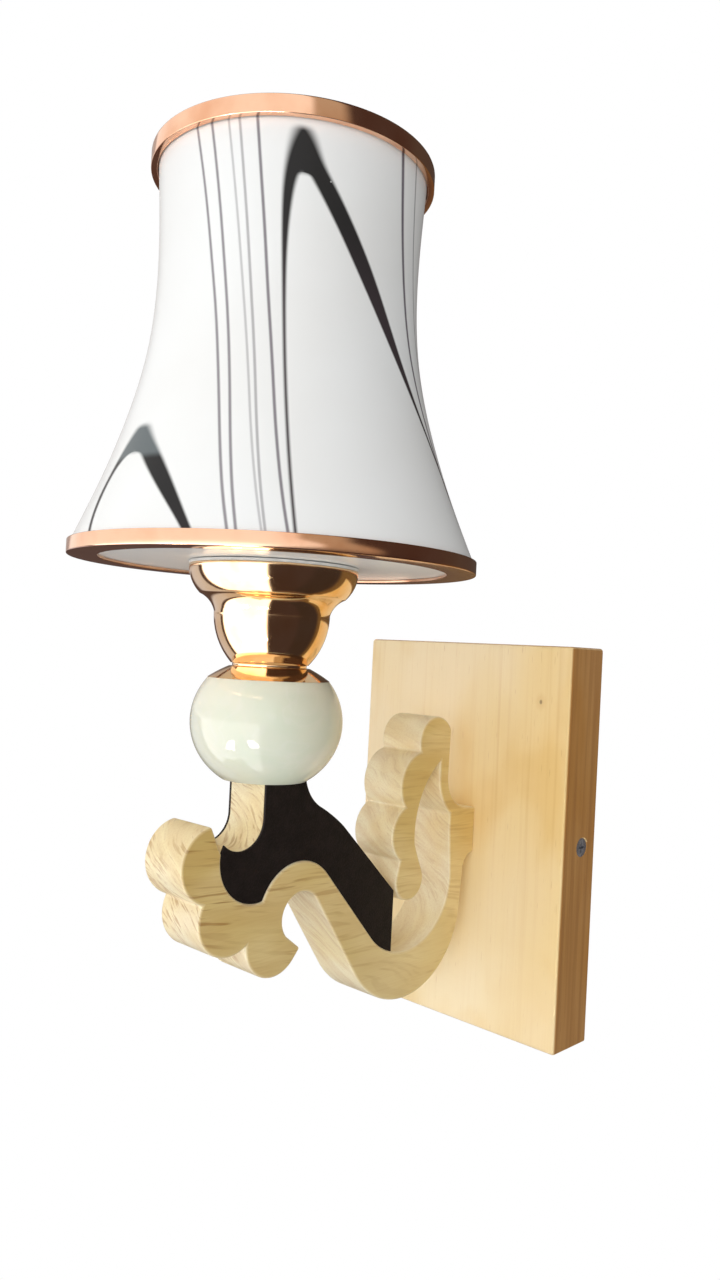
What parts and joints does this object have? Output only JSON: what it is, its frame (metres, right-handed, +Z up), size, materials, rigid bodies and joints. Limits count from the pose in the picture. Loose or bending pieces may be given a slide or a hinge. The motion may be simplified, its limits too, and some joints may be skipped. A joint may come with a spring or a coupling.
{
  "type": "wall lamp",
  "caption": "Wall lamp: pine wall plate, carved wooden arm with a leather-faced brace, pale ball and gilt cup under a streaked white glass bell shade with copper rims.",
  "frame": {"origin": "middle of the wall plate's back, on the wall plane, between the two wall screw holes", "axes": "+Z up, +Y into the wall, +X to the right seen from the front; the lamp stands out towards -Y"},
  "size_m": [0.149, 0.2141, 0.3413],
  "materials": {
    "pine": "satin",
    "arm_wood": "satin",
    "leather": "satin",
    "steel": "satin",
    "screws": "polished",
    "rose_gold": "polished",
    "pale_glass": "polished",
    "white_glass": "polished",
    "bulb_glass": "satin",
    "brass": "satin",
    "nickel": "satin",
    "ceramic": "matte",
    "holder_plastic": "satin",
    "terminal_plastic": "matte",
    "cable_sheath": "satin",
    "silicone": "matte",
    "led_board": "matte"
  },
  "bodies": {
    "root": {"back_plate": "pine", "wall_bracket": "steel", "cover_screws": "screws", "arm_screws": "screws", "terminal_block": "terminal_plastic", "terminal_screws": "screws", "arm_scroll": "arm_wood", "stem_board": "arm_wood", "leather_right": "leather", "leather_left": "leather", "arm_dowels": "arm_wood", "lead_cable": "cable_sheath", "stem_insert": "brass", "threaded_tube": "brass", "ball": "pale_glass", "ball_cap": "rose_gold", "neck_ring": "rose_gold", "cup": "rose_gold", "cup_washer": "steel", "clamp_nut": "steel", "holder_base": "holder_plastic", "holder_body": "holder_plastic", "insulator": "ceramic", "screw_shell": "brass", "center_contact": "brass", "shade_gasket": "silicone"},
    "shade": {"shade_glass": "white_glass", "lower_rim": "rose_gold", "upper_rim": "rose_gold"},
    "shade_ring": {"shade_ring": "holder_plastic"},
    "bulb": {"bulb_cap": "nickel", "bulb_button": "brass", "bulb_globe": "bulb_glass", "led_module": "led_board"}
  },
  "joints": [
    {"name": "shade_lift", "type": "slide", "parent": "root", "child": "shade", "axis": [0, 0, 1], "range_m": [0, 0.125]},
    {"name": "ring_turn", "type": "hinge", "parent": "shade", "child": "shade_ring", "pos_m": [0, -0.1396, 0.116], "axis": [0, 0, 1], "continuous": true},
    {"name": "bulb_turn", "type": "hinge", "parent": "root", "child": "bulb", "pos_m": [0, -0.1396, 0.13], "axis": [0, 0, 1], "continuous": true}
  ]
}
